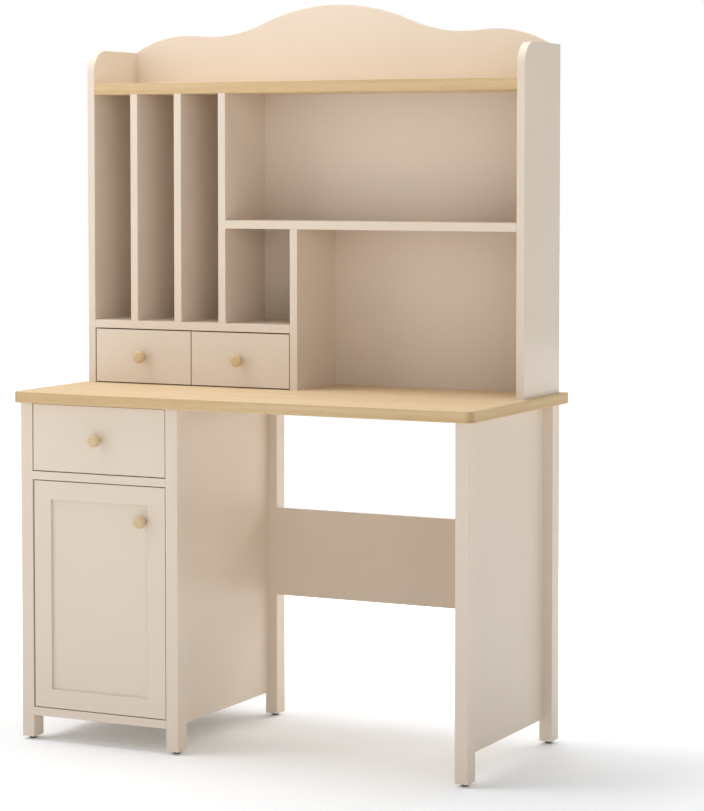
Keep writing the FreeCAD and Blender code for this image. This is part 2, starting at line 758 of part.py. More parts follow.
# Desk drawer
box_wide = inner(inside, size.slide_width)
box_low = drawer_high[0] + size.drawer_box_lift
box_high = (box_low, stretcher_height[0] - size.drawer_top_clearance)
box_run = (front_rear, back_panel_front - size.drawer_rear_clearance)
bottom_low = box_low + size.drawer_bottom_lift
bottom_high = (bottom_low, bottom_low + size.drawer_bottom_thickness)
box_clear = inner(box_wide, size.drawer_side_thickness)
desk_drawer_bottom = block("desk_drawer_bottom", inner(box_clear, 0 - size.drawer_groove),
                           (box_run[0] - size.drawer_groove, box_run[1]), bottom_high)
desk_drawer_knob, desk_drawer_knob_screw = knob("desk_drawer_knob", middle(front_wide), front_face,
                                                middle(drawer_high), size.front_thickness)
drawer_front_blank = block("desk_drawer_front_blank", front_wide, (front_face, front_rear), drawer_high)
desk_drawer_front = cut("desk_drawer_front", eased_all_round("desk_drawer_front_eased", drawer_front_blank),
                        desk_drawer_bottom, desk_drawer_knob_screw)
drawer_sides = [block("desk_drawer_side", span, box_run, box_high)
                for span in ((box_wide[0], box_clear[0]), (box_clear[1], box_wide[1]))]
drawer_back = block("desk_drawer_back", box_clear, (box_run[1] - size.drawer_side_thickness, box_run[1]),
                    (bottom_high[1], box_high[1]))
desk_drawer_box = group("desk_drawer_box", *[cut("desk_drawer_side_grooved", side, desk_drawer_bottom)
                                             for side in drawer_sides], drawer_back)

# Telescopic slides: three channels inside each other on each side of the drawer
slide_run = (front_rear + size.slide_start, back_panel_front - size.slide_rear_clearance)
slide_level = middle(box_high)
slide_step = size.slide_metal + size.slide_play


def channel(label, wall, heading, web, lip, half_height):
    """A channel along the drawer: an upright web, and a lip at its top and bottom."""
    low = slide_level - half_height
    high = slide_level + half_height
    pieces = [block(f"{label}_web", from_wall(wall, heading, *web), slide_run, (low, high)),
              block(f"{label}_lip_low", from_wall(wall, heading, *lip), slide_run,
                    (low, low + size.slide_metal)),
              block(f"{label}_lip_high", from_wall(wall, heading, *lip), slide_run,
                    (high - size.slide_metal, high))]
    return fused(label, *pieces)


outer_web = (as_size(0), size.slide_metal)
middle_web = (slide_step, slide_step + size.slide_metal)
inner_web = (size.slide_width - size.slide_metal, size.slide_width)
middle_lip = size.slide_width - size.slide_lip_gap
half_slide = size.slide_height / 2
outers = []
middles = []
inners = []
for wall, heading in ((inside_left, "+x"), (inside_right, "-x")):
    outer = channel("slide_outer", wall, heading, outer_web, (outer_web[0], middle_lip - slide_step),
                    half_slide)
    bolts = []
    for depth in inner(slide_run, size.slide_screw_inset):
        bore = from_wall(wall, heading, 0 - size.panel_screw_bite, size.slide_metal)
        bolts.append(rod("slide_screw", (bore[0], depth, slide_level), "+x", size.screw_diameter,
                         bore[1] - bore[0]))
    screw_pieces += bolts
    outers.append(cut("slide_outer_bored", outer, group("slide_screws", *bolts)))
    middles.append(channel("slide_middle", wall, heading, middle_web,
                           (middle_web[0], middle_lip), half_slide - slide_step))
    inners.append(channel("slide_inner", wall, heading, inner_web,
                          (middle_web[1] + size.slide_play, inner_web[1]), half_slide - slide_step * 2))
slide_outer_members = group("slide_outer_members", *outers)
slide_middle_members = group("slide_middle_members", *middles)
slide_inner_members = group("slide_inner_members", *inners)
carcass_screws = group("carcass_screws", *screw_pieces)

# Pedestal: panels first, because the posts are grooved by them
left_panel_blank = block("left_panel_blank", (inside_left - size.panel_thickness, inside_left), panel_run,
                         panel_height)
right_panel_blank = block("right_panel_blank", (inside_right, inside_right + size.panel_thickness),
                          panel_run, panel_height)
frame_panel_blank = block("frame_panel_blank", (frame_inside, frame_inside + size.panel_thickness),
                          panel_run, panel_height)
pedestal_back_panel = block("pedestal_back_panel", inner(inside, 0 - size.panel_tongue),
                            (back_panel_front, back_panel_front + size.panel_thickness), panel_height)
pedestal_left_panel = cut("pedestal_left_panel", left_panel_blank, shelf_pins, carcass_screws)
pedestal_right_panel = cut("pedestal_right_panel", right_panel_blank, shelf_pins, carcass_screws)
right_leg_panel = cut("right_leg_panel", frame_panel_blank, carcass_screws)


def post(label, plan, *panels):
    """A square post, eased along its length, grooved for its panels and bored for its fasteners."""
    xs, ys = post_plan[plan]
    blank = eased(f"{label}_eased", block(f"{label}_blank", xs, ys, post_height), "+z")
    grooved = cut(f"{label}_grooved", blank, *panels)
    return cut(label, grooved, group(f"{label}_fasteners", base_dowel_group, leg_glides, carcass_screws))


front_left_post = post("front_left_post", "front_left", left_panel_blank)
front_right_post = post("front_right_post", "front_right", right_panel_blank)
rear_left_post = post("rear_left_post", "rear_left", left_panel_blank, pedestal_back_panel)
rear_right_post = post("rear_right_post", "rear_right", right_panel_blank, pedestal_back_panel)
right_front_leg = post("right_front_leg", "leg_front", frame_panel_blank)
right_rear_leg = post("right_rear_leg", "leg_rear", frame_panel_blank)

rail_front = (leg_front, leg_front + size.rail_thickness)
bottom_rail_blank = block("bottom_rail_blank", inside, rail_front, (size.panel_floor_gap, rail_top))
bottom_rail = cut("bottom_rail", eased("bottom_rail_eased", bottom_rail_blank, "+x"), base_dowel_group)
drawer_rail_blank = block("drawer_rail_blank", inside, (leg_front, leg_front + size.drawer_rail_depth),
                          (drawer_rail_level, drawer_rail_top))
drawer_rail = cut("drawer_rail", eased("drawer_rail_eased", drawer_rail_blank, "+x"), base_dowel_group,
                  group("catch_screw_bores", *catch_screws))
pedestal_floor = block("pedestal_floor", inside, (rail_front[1], back_panel_front),
                       (rail_top - size.pedestal_floor_thickness, rail_top))
stretcher_blanks = [block("stretcher_blank", inside, run, stretcher_height)
                    for run in (front_stretcher, rear_stretcher)]
top_stretchers = group("top_stretchers", *[cut("stretcher", blank, carcass_screws)
                                           for blank in stretcher_blanks])
modesty_blank = block("modesty_blank", (pedestal_right, frame_inside), modesty_run, modesty_height)
modesty_panel = cut("modesty_panel", eased("modesty_eased", modesty_blank, "+x"), base_dowel_group)
angle_brackets = cut("angle_brackets", bracket_group, carcass_screws)

# Desktop: rounded front corners, eased edges, and blind holes for the dowels and screws
desktop_blank = block("desktop_blank", (left, right), (front, back), (under, top))
front_corner = [along("+z"), on_plane("+y", front)]
desktop_cornered = rounded("desktop_cornered", desktop_blank, size.desktop_corner,
                           lambda edge: all(test(edge) for test in front_corner))
at_top = on_plane("+z", top)
at_bottom = on_plane("+z", under)
desktop_eased = rounded("desktop_eased", desktop_cornered, size.desktop_easing,
                        lambda edge: at_top(edge) or at_bottom(edge))
desktop = cut("desktop", desktop_eased, base_dowel_group, hutch_dowel_group, carcass_screws)

# Hutch sides, each with a rounded shoulder at its top front corner
shoulder = [on_plane("+y", hutch_front), on_plane("+z", side_height[1])]


def hutch_side(label, xs):
    blank = block(f"{label}_blank", xs, (hutch_front, hutch_back_plane), side_height)
    curved = rounded(f"{label}_curved", blank, size.hutch_corner,
                     lambda edge: all(test(edge) for test in shoulder))
    faces = [on_plane("+x", xs[0]), on_plane("+x", xs[1])]
    rear = on_plane("+y", hutch_back_plane)
    foot = on_plane("+z", top)
    smooth = rounded(f"{label}_eased", curved, size.board_easing,
                     lambda edge: any(face(edge) for face in faces) and not rear(edge) and not foot(edge))
    return cut(label, smooth, hutch_dowel_group, cam_bore_group)


hutch_left_side = hutch_side("hutch_left_side", (hutch_left, bay_left))
hutch_right_side = hutch_side("hutch_right_side", (bay_right, hutch_right))


# Hutch back, with the crest along its top
def level_arc(level, other):
    """The arc that leaves one point level and ends at another point."""
    rise = other.z - level.z
    reach = (other - level).Length
    centre = level + UP * (reach ** 2 / (2 * rise))
    towards = (level - centre) + (other - centre)
    halfway = centre + towards.normalize() * (level - centre).Length
    return Part.Arc(level, halfway, other).toShape()


def wave(first, second, share):
    """Two arcs, level at their outer ends, that meet and turn at a share of the way between."""
    turning = first + (second - first) * share
    return [level_arc(first, turning), level_arc(second, turning)]


def crest_edges():
    """The crest from end to end: hump, hollow, high middle, hollow and hump."""
    y = hutch_back_front.value
    peak = FreeCAD.Vector(0, y, (side_height[1] + size.crest_peak_rise).value)
    edges = []
    for side, end in ((-1, bay_left), (1, bay_right)):
        shoulder_end = FreeCAD.Vector(end.value, y, side_height[1].value)
        hump_level = (side_height[1] + size.crest_hump_rise).value
        hump = FreeCAD.Vector(side * size.crest_hump_offset.value, y, hump_level)
        dip_level = (side_height[1] + size.crest_dip_rise).value
        dip = FreeCAD.Vector(side * size.crest_dip_offset.value, y, dip_level)
        foot = FreeCAD.Vector(end.value, y, top.value)
        edges.append(Part.LineSegment(foot, shoulder_end).toShape())
        edges.append(level_arc(hump, shoulder_end))
        edges += wave(hump, dip, HUMP_TURN_SHARE)
        edges += wave(dip, peak, PEAK_TURN_SHARE)
    feet = [FreeCAD.Vector(end.value, y, top.value) for end in (bay_left, bay_right)]
    edges.append(Part.LineSegment(*feet).toShape())
    return edges


crest_wire = Part.Wire(Part.sortEdges(crest_edges())[0])
crest_board = Part.Face(crest_wire).extrude(FreeCAD.Vector(0, size.hutch_back_thickness.value, 0))
board_faces = [on_plane("+y", hutch_back_front), on_plane("+y", hutch_back_plane)]
crest_lines = [edge for edge in crest_board.Edges
               if any(face(edge) for face in board_faces) and edge.CenterOfMass.z > side_height[1].value]
hutch_back = doc.addObject("Part::Feature", "hutch_back")
hutch_back.Shape = crest_board.makeFillet(size.board_easing.value, crest_lines)
hutch_back.Placement = FreeCAD.Placement()


# Hutch shelves and dividers
def hutch_board(label, xs, zs, axis):
    """A board of the hutch between the front and the back, eased along its long edges."""
    blank = eased(f"{label}_eased", block(f"{label}_blank", xs, hutch_run, zs), axis)
    return cut(label, blank, hutch_dowel_group, cam_bore_group)


hutch_top_shelf = hutch_board("hutch_top_shelf", (bay_left, bay_right), top_shelf, "+x")
hutch_middle_shelf = hutch_board("hutch_middle_shelf", (last_slot_divider[1], bay_right), middle_shelf, "+x")
drawer_deck = hutch_board("drawer_deck", (bay_left, divider[0]), deck, "+x")
bay_divider = hutch_board("bay_divider", divider, (top, middle_shelf[0]), "+z")
slot_height = (deck[1], top_shelf[0])
slot_divider_group = group("slot_dividers", *[hutch_board(f"slot_divider_{count}", xs, slot_height, "+z")
                                              for count, xs in enumerate(slot_dividers, start=1)])

# Small drawers, the partition between them and the runners that carry them
small_face = hutch_front + size.front_setback
small_rear = small_face + size.small_front_thickness
bank_middle = middle((bay_left, divider[0]))
partition = (bank_middle - size.partition_thickness / 2, bank_middle + size.partition_thickness / 2)
small_drawer_partition = block("small_drawer_partition", partition, (small_rear, hutch_back_front),
                               (top, deck[0]))
small_low = top + size.small_box_lift
runner_high = (small_low + size.runner_lift, small_low + size.runner_lift + size.runner_height)
small_run = (small_rear, hutch_back_front - size.small_rear_clearance)
runner_run = (small_rear, hutch_back_front)
runners = []


def small_drawer(label, opening, face_wide):
    """A small drawer: front, box with grooves for the runners, bottom, knob and screw."""
    box = inner(opening, size.small_side_gap)
    clear = inner(box, size.small_side_thickness)
    box_high = (small_low, deck[0] - size.small_top_clearance)
    floor_low = small_low + size.small_bottom_lift
    floor_high = (floor_low, floor_low + size.small_bottom_thickness)
    floor = block(f"{label}_bottom", inner(clear, 0 - size.small_groove),
                  (small_run[0] - size.small_groove, small_run[1]), floor_high)
    groove_high = (runner_high[0] - size.runner_play, runner_high[1])
    sides = []
    for wall, heading, face, far in ((opening[0], "+x", box[0], clear[0]),
                                     (opening[1], "-x", box[1], clear[1])):
        runners.append(block(f"{label}_runner", from_wall(wall, heading, 0, size.runner_reach), runner_run,
                             runner_high))
        span = (face, far) if heading == "+x" else (far, face)
        groove = block(f"{label}_groove", from_wall(wall, heading, 0, size.runner_reach + size.runner_play),
                       small_run, groove_high)
        blank = block(f"{label}_side_blank", span, small_run, box_high)
        sides.append(cut(f"{label}_side", blank, groove, floor))
    back_board = block(f"{label}_back", clear, (small_run[1] - size.small_side_thickness, small_run[1]),
                       (floor_high[1], box_high[1]))
    face_high = (top + size.small_gap, deck[0] - size.small_gap)
    turned_knob, bolt = knob(f"{label}_knob", middle(face_wide), small_face, middle(face_high),
                             size.small_front_thickness)
    face_blank = block(f"{label}_front_blank", face_wide, (small_face, small_rear), face_high)
    face = cut(f"{label}_front", eased_all_round(f"{label}_front_eased", face_blank), floor, bolt)
    return [face, group(f"{label}_box", *sides, back_board), floor, turned_knob, bolt]


left_drawer = small_drawer("left_drawer", (bay_left, partition[0]),
                           (bay_left + size.small_gap, bank_middle - size.small_gap / 2))
right_drawer = small_drawer("right_drawer", (partition[1], divider[0]),
                            (bank_middle + size.small_gap / 2, divider[0] - size.small_gap))
small_drawer_runners = group("small_drawer_runners", *runners)

# Every sub-part that stands by itself
nodes = [
    desktop, front_left_post, front_right_post, rear_left_post, rear_right_post,
    pedestal_left_panel, pedestal_right_panel, pedestal_back_panel, pedestal_floor, drawer_rail,
    bottom_rail, top_stretchers, cupboard_shelf, shelf_pins, right_front_leg, right_rear_leg,
    right_leg_panel, modesty_panel, leg_glides, assembly_dowels, cam_locks, angle_brackets,
    carcass_screws, hutch_left_side, hutch_right_side, hutch_back, hutch_top_shelf,
    hutch_middle_shelf, slot_divider_group, bay_divider, drawer_deck, small_drawer_partition,
    small_drawer_runners, slide_outer_members, slide_middle_members, slide_inner_members,
    hinge_arms, hinge_cups, hinge_pins, door_catch, door_strike, door_frame, door_panel, door_knob,
    door_knob_screw, desk_drawer_front, desk_drawer_box, desk_drawer_bottom, desk_drawer_knob,
    desk_drawer_knob_screw, *left_drawer, *right_drawer,
]

# Checks before anything is written
doc.recompute()
for item in doc.Objects:
    if "Invalid" in item.State or "Error" in item.State:
        raise RuntimeError(f"{item.Label} failed: {item.State}")
for item in nodes:
    if item.Shape.isNull() or not item.Shape.isValid() or not item.Shape.Solids:
        raise RuntimeError(f"{item.Label} has no sound shape")

os.makedirs("parts", exist_ok=True)
for item in nodes:
    item.Shape.exportStep(f"parts/{item.Label}.step")
    print(item.Label, len(item.Shape.Solids), round(item.Shape.Volume))
print(len(nodes), "sub-parts written")
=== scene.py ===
# %% [markdown]
# A student desk with a hutch, dressed for a studio picture.
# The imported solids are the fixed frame: every board, post, drawer and fastener already stands in its
# true place, in metres, with x to the right, y to the back and z up.
# This lesson adds what solids alone can't give: the camera, the light, the finishes, and a few small
# turned pieces whose curves are worked out with numpy.

# %% load the frame
import math

import bpy
import numpy as np
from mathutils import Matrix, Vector


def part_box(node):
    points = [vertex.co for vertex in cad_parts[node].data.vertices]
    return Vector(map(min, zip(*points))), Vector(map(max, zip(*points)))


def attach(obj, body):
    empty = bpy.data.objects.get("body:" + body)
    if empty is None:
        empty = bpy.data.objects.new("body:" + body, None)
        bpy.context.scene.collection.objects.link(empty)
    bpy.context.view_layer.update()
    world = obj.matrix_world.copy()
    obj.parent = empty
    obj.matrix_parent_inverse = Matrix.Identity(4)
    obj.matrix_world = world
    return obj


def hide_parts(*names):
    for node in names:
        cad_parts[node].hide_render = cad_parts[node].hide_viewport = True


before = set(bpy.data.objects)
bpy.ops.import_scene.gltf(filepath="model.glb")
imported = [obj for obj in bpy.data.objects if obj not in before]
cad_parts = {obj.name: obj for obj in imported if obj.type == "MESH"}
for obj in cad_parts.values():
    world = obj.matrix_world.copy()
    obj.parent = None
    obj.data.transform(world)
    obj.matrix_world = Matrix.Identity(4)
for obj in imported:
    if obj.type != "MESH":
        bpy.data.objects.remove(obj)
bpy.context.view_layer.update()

MM = 0.001

# %% [markdown]
# The picture was taken with a long lens from half a metre above the desktop and from the right of the
# front. The photographer kept the uprights upright with a shift lens. A shift could copy that exactly,
# but it pushes the desk off centre in every other view, so more than half of it is traded here for a
# slight tilt down. The eye, the two angles and the lens were solved together so that the corners of
# the desk fall on the same places in the picture.

# %% camera
PICTURE = (704, 811)    # pixels
SENSOR = 36.0           # mm, along the longer side of the picture
EYE = (2.6643, -5.0838, 1.2513)
TILT_DOWN, TURN_LEFT = math.radians(3.068), math.radians(26.283)
FOCAL_PIXELS, LENS_SHIFT = 2659.5, -0.12

lens = bpy.data.cameras.new("studio_camera")
lens.sensor_width = SENSOR
lens.lens = FOCAL_PIXELS * SENSOR / max(PICTURE)
lens.shift_y = LENS_SHIFT
camera = bpy.data.objects.new("studio_camera", lens)
camera.location = EYE
camera.rotation_euler = (math.radians(90) - TILT_DOWN, 0, TURN_LEFT)
scene = bpy.context.scene
scene.collection.objects.link(camera)
scene.camera = camera
print("lens in mm:", round(lens.lens, 1))

# %% [markdown]
# Colours are written as the hex values that a paint chart or a picture editor shows, and those are
# stored on a curve that suits the eye. Light adds up in linear numbers, so one function turns hex
# into linear before any shader sees it.

# %% colour from hex
def linear(hex_colour):
    """A hex colour as linear RGBA: a straight line near black, and a 2.4 power above it."""
    coded = np.array([int(hex_colour[at:at + 2], 16) for at in (1, 3, 5)]) / 255
    light = np.where(coded <= 0.04045, coded / 12.92, ((coded + 0.055) / 1.055) ** 2.4)
    return (*light.tolist(), 1.0)


print("mid grey in linear light:", round(linear("#808080")[0], 3))

# %% [markdown]
# Every finish below is a small net of shader nodes. One function adds a node, sets its properties
# and fills its sockets: a plain value is stored, and another node's output is linked. Two more start
# a material and lead the net's results to its shader.

# %% one function for every node
def add(tree, kind, sockets=None, **settings):
    """A new shader node; sockets maps an input's name or number to a value or to an output."""
    made = tree.nodes.new(kind)
    for name, value in settings.items():
        setattr(made, name, value)
    for name, value in (sockets or {}).items():
        if isinstance(value, bpy.types.NodeSocket):
            tree.links.new(value, made.inputs[name])
        else:
            made.inputs[name].default_value = value
    return made


def new_finish(name, **shader):
    """A material, its net and its Principled shader, with the values that are the same all over."""
    material = bpy.data.materials.new(name)
    material.use_nodes = True
    principled = material.node_tree.nodes["Principled BSDF"]
    for socket, value in shader.items():
        principled.inputs[socket.replace("_", " ")].default_value = value
    return material, material.node_tree, principled


def feed(net, shader, **outputs):
    """Links each output to the shader's socket of that name, with an underscore for a space."""
    for socket, output in outputs.items():
        net.links.new(output, shader.inputs[socket.replace("_", " ")])


finishes = {}
print("ready for finishes")

# %% [markdown]
# The room is a white studio with large soft lamps, as furniture is usually shot. One softbox hangs
# above the desk and fades on the way down, so the crest is the brightest. Two more on the left, one
# high up and one in front of the desk, leave the left walls of the bays in shade. A fourth hangs low
# behind the desk and faces the floor, which throws its light back into the kneehole. A wide sun
# stands for a lamp that is too far away to fade: a weak fill from beside the camera that reaches into
# the slots. Every lamp points its own z axis back at where its light is from.

# %% lamps
# Each softbox has a name, a place, a point that it faces, the length of its side and its watts.
SOFTBOXES = (("overhead_softbox", (-0.15, 0.1, 2.9), (-0.1, 0.0, 0.7), 1.8, 25),
             ("left_high_softbox", (-2.2, -0.6, 4.8), (0.0, 0.0, 0.8), 2.5, 84),
             ("left_side_softbox", (-2.2, -1.8, 1.9), (0.0, 0.0, 0.7), 1.6, 16),
             ("rear_floor_softbox", (0.3, 1.3, 0.74), (0.3, 1.2, 0.0), 1.3, 12.5))
FILL_FROM, FILL_SPREAD, FILL_SUN = (0.66, -0.75, 0.12), math.radians(30), 0.48


def hang_lamp(name, kind, light_from, strength):
    """A lamp that the camera doesn't see, turned so that its z axis lies along light_from."""
    lamp = bpy.data.objects.new(name, bpy.data.lights.new(name, kind))
    lamp.data.energy = strength
    lamp.rotation_euler = light_from.to_track_quat("Z", "Y").to_euler()
    lamp.visible_camera = False
    scene.collection.objects.link(lamp)
    return lamp


for name, place, aim, side, watts in SOFTBOXES:
    box_lamp = hang_lamp(name, "AREA", Vector(place) - Vector(aim), watts)
    box_lamp.location, box_lamp.data.size = place, side
hang_lamp("front_fill", "SUN", Vector(FILL_FROM), FILL_SUN).data.angle = FILL_SPREAD
print(len(SOFTBOXES), "softboxes and a wide sun")

# %% [markdown]
# White walls fill the shade from all sides. The camera sees them as pure white, like the backdrop of
# a catalogue picture, whatever strength they light with.

# %% white surround
WHITE = linear("#FFFFFF")
FILL_STRENGTH = 0.42

world = bpy.data.worlds.new("white_studio")
world.use_nodes = True
room = world.node_tree
room.nodes.clear()
walls = add(room, "ShaderNodeBackground", {"Color": WHITE, "Strength": FILL_STRENGTH})
backdrop = add(room, "ShaderNodeBackground", {"Color": WHITE, "Strength": 1.0})
ray = add(room, "ShaderNodeLightPath")
either = add(room, "ShaderNodeMixShader", {0: ray.outputs["Is Camera Ray"], 1: walls.outputs[0],
                                           2: backdrop.outputs[0]})
add(room, "ShaderNodeOutputWorld", {"Surface": either.outputs[0]})
scene.world = world
scene.view_settings.view_transform = "Standard"
print("the walls light with", FILL_STRENGTH)

# %% [markdown]
# The floor is one broad sheet of matt white studio paper, with a faint cloud in its tone. It lies at
# the glides' soles and isn't part of the desk. Away from the softboxes it would fade to grey, so, as in
# a catalogue studio, it is washed white: a faint glow lightens the shadows under the desk, grows from
# 0.8 m away and is full at 2.3 m.

# %% floor
FLOOR_HALF = 30.0
PAPER_CLOUD = 330 * MM
WASH_START, WASH_FULL = 0.8, 2.3
GLOW_NEAR, GLOW_FAR = 0.10, 0.70

sheet = bpy.data.meshes.new("studio_floor")
corner = np.array([(-1, -1, 0), (1, -1, 0), (1, 1, 0), (-1, 1, 0)]) * FLOOR_HALF
sheet.from_pydata(corner.tolist(), [], [(0, 1, 2, 3)])
floor = bpy.data.objects.new("studio_floor", sheet)
scene.collection.objects.link(floor)
paper, net, shader = new_finish("matt_studio_paper", Roughness=0.9, Specular_IOR_Level=0.1,
                                Emission_Color=WHITE)
place = add(net, "ShaderNodeTexCoord").outputs["Object"]
cloud = add(net, "ShaderNodeTexNoise", {"Vector": place, "Scale": 1 / PAPER_CLOUD})
tone = add(net, "ShaderNodeMix", {0: cloud.outputs["Fac"], 6: linear("#F0F2F4"), 7: linear("#F2F4F6")},
           data_type="RGBA")
from_desk = add(net, "ShaderNodeVectorMath", {0: place}, operation="LENGTH")
wash = add(net, "ShaderNodeMapRange", {"Value": from_desk.outputs["Value"], "From Min": WASH_START,
                                       "From Max": WASH_FULL, "To Min": GLOW_NEAR,
                                       "To Max": GLOW_FAR}, interpolation_type="SMOOTHSTEP")
feed(net, shader, Base_Color=tone.outputs[2], Emission_Strength=wash.outputs[0])
sheet.materials.append(paper)
print("floor spans", 2 * FLOOR_HALF, "m")

# %% [markdown]
# Most of the desk is medium density fibreboard, sprayed with cream satin lacquer. The spray leaves a
# very fine orange peel that softens reflections, and the tone drifts slightly over a hand's width.
# The real peel is about 1 mm across and would vanish at this distance, so it is drawn at 3 mm.

# %% satin lacquered fibreboard
PEEL, DRIFT, SHEEN_PATCH = 3 * MM, 160 * MM, 40 * MM

paint, net, shader = new_finish("satin_lacquered_fibreboard", IOR=1.48)
place = add(net, "ShaderNodeTexCoord").outputs["Object"]
drift = add(net, "ShaderNodeTexNoise", {"Vector": place, "Scale": 1 / DRIFT, "Detail": 3.0})
cream = add(net, "ShaderNodeMix", {0: drift.outputs["Fac"], 6: linear("#D7C8B7"),
                                   7: linear("#DDCEBD")}, data_type="RGBA")
patch = add(net, "ShaderNodeTexNoise", {"Vector": place, "Scale": 1 / SHEEN_PATCH, "Detail": 4.0})
gloss = add(net, "ShaderNodeMapRange", {"Value": patch.outputs["Fac"], "To Min": 0.40, "To Max": 0.52})
peel = add(net, "ShaderNodeTexNoise", {"Vector": place, "Scale": 1 / PEEL, "Detail": 2.0})
skin = add(net, "ShaderNodeBump", {"Height": peel.outputs["Fac"], "Strength": 0.12, "Distance": 0.2 * MM})
feed(net, shader, Base_Color=cream.outputs[2], Roughness=gloss.outputs[0], Normal=skin.outputs[0])
finishes["painted_board"] = paint
print("paint peel drawn at", PEEL / MM, "mm")

# %% [markdown]
# The desktop and the top shelf are pale oak veneer under clear matt lacquer. On the faces the grain
# runs along the board, which is along x. The edge band is a strip bent round the front corners, so its
# grain follows the strip: the sum x + y grows along the front edge and along the sides alike, and
# serves as its length.

# %% where the oak's grain runs
SQUARE_ON = 0.7     # near the cosine of 45 degrees, so a face past it looks along that axis most

veneer, net, shader = new_finish("clear_lacquered_oak_veneer", IOR=1.5)
where = add(net, "ShaderNodeTexCoord")
spot = add(net, "ShaderNodeSeparateXYZ", {0: where.outputs["Object"]})
along_strip = add(net, "ShaderNodeMath", {0: spot.outputs["X"], 1: spot.outputs["Y"]}, operation="ADD")
on_strip = add(net, "ShaderNodeCombineXYZ", {"X": along_strip.outputs[0], "Y": spot.outputs["Z"]})
facing = add(net, "ShaderNodeSeparateXYZ", {0: where.outputs["Normal"]})
lift = add(net, "ShaderNodeMath", {0: facing.outputs["Z"]}, operation="ABSOLUTE")
is_face = add(net, "ShaderNodeMath", {0: lift.outputs[0], 1: SQUARE_ON}, operation="GREATER_THAN")
leaf = add(net, "ShaderNodeMix", {0: is_face.outputs[0], 4: on_strip.outputs[0],
                                  5: where.outputs["Object"]}, data_type="VECTOR")
print("faces and edge strip told apart at", round(math.degrees(math.acos(SQUARE_ON))), "degrees")

# %% [markdown]
# Sliced oak shows three things: broad light and dark bands, straight growth streaks some 10 mm wide
# that run for half a metre, and pores, fine dark dashes along the grain. Each is a noise stretched to
# its own width and run. Pores are about 0.3 mm wide and are drawn at 1.6 mm.

# %% bands, streaks and pores
STREAK, STREAK_RUN = 11 * MM, 520 * MM
BAND, BAND_RUN = 85 * MM, 1500 * MM
PORE, PORE_RUN = 1.6 * MM, 34 * MM
MOST_OF_NOISE = {"From Min": 0.3, "From Max": 0.7}      # few values of a noise lie outside these

grain = {}
for kind, wide, run, detail in (("band", BAND, BAND_RUN, 2.0), ("streak", STREAK, STREAK_RUN, 4.0),
                                ("pore", PORE, PORE_RUN, 1.0)):
    stretched = add(net, "ShaderNodeMapping", {"Vector": leaf.outputs[1],
                                               "Scale": (1 / run, 1 / wide, 1 / wide)})
    noise = add(net, "ShaderNodeTexNoise", {"Vector": stretched.outputs[0], "Scale": 1.0,
                                            "Detail": detail, "Distortion": 0.35})
    grain[kind] = noise.outputs["Fac"]
bands = add(net, "ShaderNodeMapRange", {"Value": grain["band"], **MOST_OF_NOISE})
streaks = add(net, "ShaderNodeMapRange", {"Value": grain["streak"], **MOST_OF_NOISE})
pores = add(net, "ShaderNodeMapRange", {"Value": grain["pore"], "From Min": 0.58, "From Max": 0.74,
                                        "To Max": 0.30})
light_wood = add(net, "ShaderNodeMix", {0: bands.outputs[0], 6: linear("#E2C9A3"),
                                        7: linear("#E8D2B0")}, data_type="RGBA")
grown = add(net, "ShaderNodeMix", {0: streaks.outputs[0], 6: light_wood.outputs[2],
                                   7: linear("#D8BB90")}, data_type="RGBA")
pored = add(net, "ShaderNodeMix", {0: pores.outputs[0], 6: grown.outputs[2],
                                   7: linear("#A37E4F")}, data_type="RGBA")
print("oak streaks", STREAK / MM, "mm wide, pores drawn", PORE / MM, "mm wide")

# %% [markdown]
# The edge strip is painted darker than the face, as painted shade, and darker still at the corners,
# which are found where a face looks neither straight ahead nor straight to a side. The lacquer is
# matt, most of all on the dark streaks, and the pores stay as faint dents in it.

# %% painted shade on the edge strip, and clear matt lacquer
across = add(net, "ShaderNodeMath", {0: facing.outputs["X"]}, operation="ABSOLUTE")
ahead = add(net, "ShaderNodeMath", {0: facing.outputs["Y"]}, operation="ABSOLUTE")
bent = add(net, "ShaderNodeMath", {0: across.outputs[0], 1: ahead.outputs[0]}, operation="MINIMUM")
painted_corner_shade = add(net, "ShaderNodeMapRange", {"Value": bent.outputs[0], "From Min": 0.1, "From Max": 0.6})
# Painted shade: the edge strip's colour is multiplied by a darker tone, darkest where it turns a corner.
painted_edge_shade = add(net, "ShaderNodeMix", {0: painted_corner_shade.outputs[0], 6: linear("#E6DFD0"), 7: linear("#CEC5AD")},
            data_type="RGBA")
is_strip = add(net, "ShaderNodeMath", {0: 1.0, 1: is_face.outputs[0]}, operation="SUBTRACT")
toned = add(net, "ShaderNodeMix", {0: is_strip.outputs[0], 6: pored.outputs[2], 7: painted_edge_shade.outputs[2]},
            data_type="RGBA", blend_type="MULTIPLY")
coat = add(net, "ShaderNodeMapRange", {"Value": grain["streak"], "To Min": 0.56, "To Max": 0.68})
dent = add(net, "ShaderNodeBump", {"Height": pores.outputs[0], "Strength": 0.25, "Distance": 0.15 * MM},
           invert=True)
feed(net, shader, Base_Color=toned.outputs[2], Roughness=coat.outputs[0], Normal=dent.outputs[0])
finishes["pale_wood"] = veneer
print("oak veneer has a net of", len(net.nodes), "nodes")

# %% [markdown]
# The four knobs are turned from beech with the grain along the turning axis, which points to the
# front. Cutting straight across the growth rings leaves gentle arcs on the face, and the flanks show
# short flecks that run with the axis. A wave of flat bands stands for the rings of a large trunk.

# %% turned beech
RING, FLECK, FLECK_RUN = 3.2 * MM, 1.1 * MM, 7 * MM
RING_LEAN = math.radians(28)
WAVE_LENGTH = 2 * math.pi / 20      # from band to band in the wave node at a scale of 1

